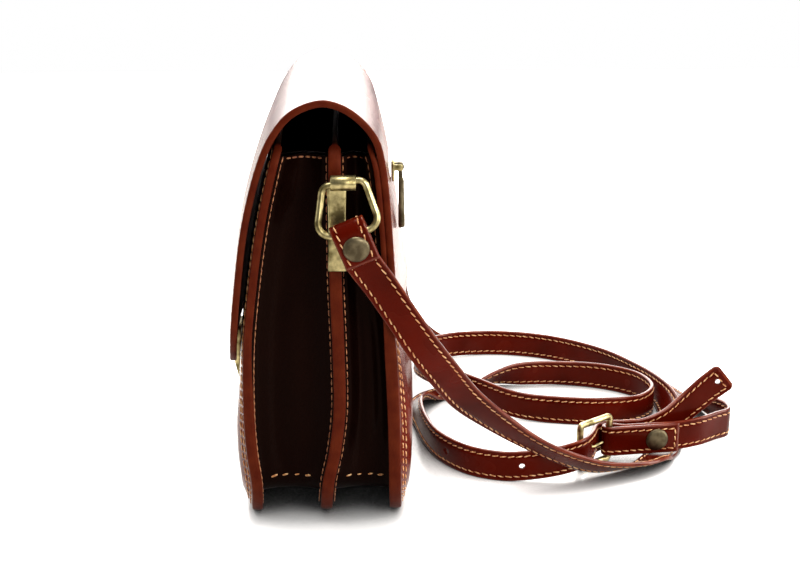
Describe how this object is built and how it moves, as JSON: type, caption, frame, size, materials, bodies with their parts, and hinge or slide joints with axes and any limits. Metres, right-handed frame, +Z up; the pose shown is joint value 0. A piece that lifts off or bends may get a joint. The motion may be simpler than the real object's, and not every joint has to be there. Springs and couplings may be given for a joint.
{
  "type": "flap bag",
  "caption": "Small leather shoulder bag with a front flap, a divided inside, recessed gussets, brass end rings and a buckled strap laid in loose loops behind it",
  "frame": {"origin": "middle of the divider's lower edge, on the floor that the bag stands on", "axes": "+X along the bag's width to the end that faces the camera, -Y to the front with the flap, +Z up"},
  "size_m": [0.3231, 0.2995, 0.2279],
  "materials": {
    "body_leather": "smooth glazed calf with painted edges",
    "gusset_leather": "soft glazed leather",
    "strap_leather": "smooth glazed strap leather, stitched",
    "antique_brass": "antique satin"
  },
  "bodies": {
    "bag": {"front_panel": "body_leather", "divider": "body_leather", "back_panel": "body_leather", "flap": "body_leather", "gusset_front": "gusset_leather", "gusset_back": "gusset_leather", "strap_long": "strap_leather", "strap_short": "strap_leather", "hanger_near": "antique_brass", "hanger_far": "antique_brass", "ring_near": "antique_brass", "ring_far": "antique_brass", "cap_near": "antique_brass", "cap_far": "antique_brass", "cap_buckle": "antique_brass", "buckle_frame": "antique_brass", "buckle_prong": "antique_brass", "clasp_catch": "antique_brass", "zip_chain": "antique_brass", "zip_slider": "antique_brass"},
    "zip_pull": {"zip_pull": "antique_brass"}
  },
  "joints": [
    {"name": "zip_pull_swing", "type": "hinge", "parent": "bag", "child": "zip_pull", "pos_m": [0.065, 0.04075, 0.188], "axis": [1, 0, 0], "range_deg": [0, 160]}
  ]
}
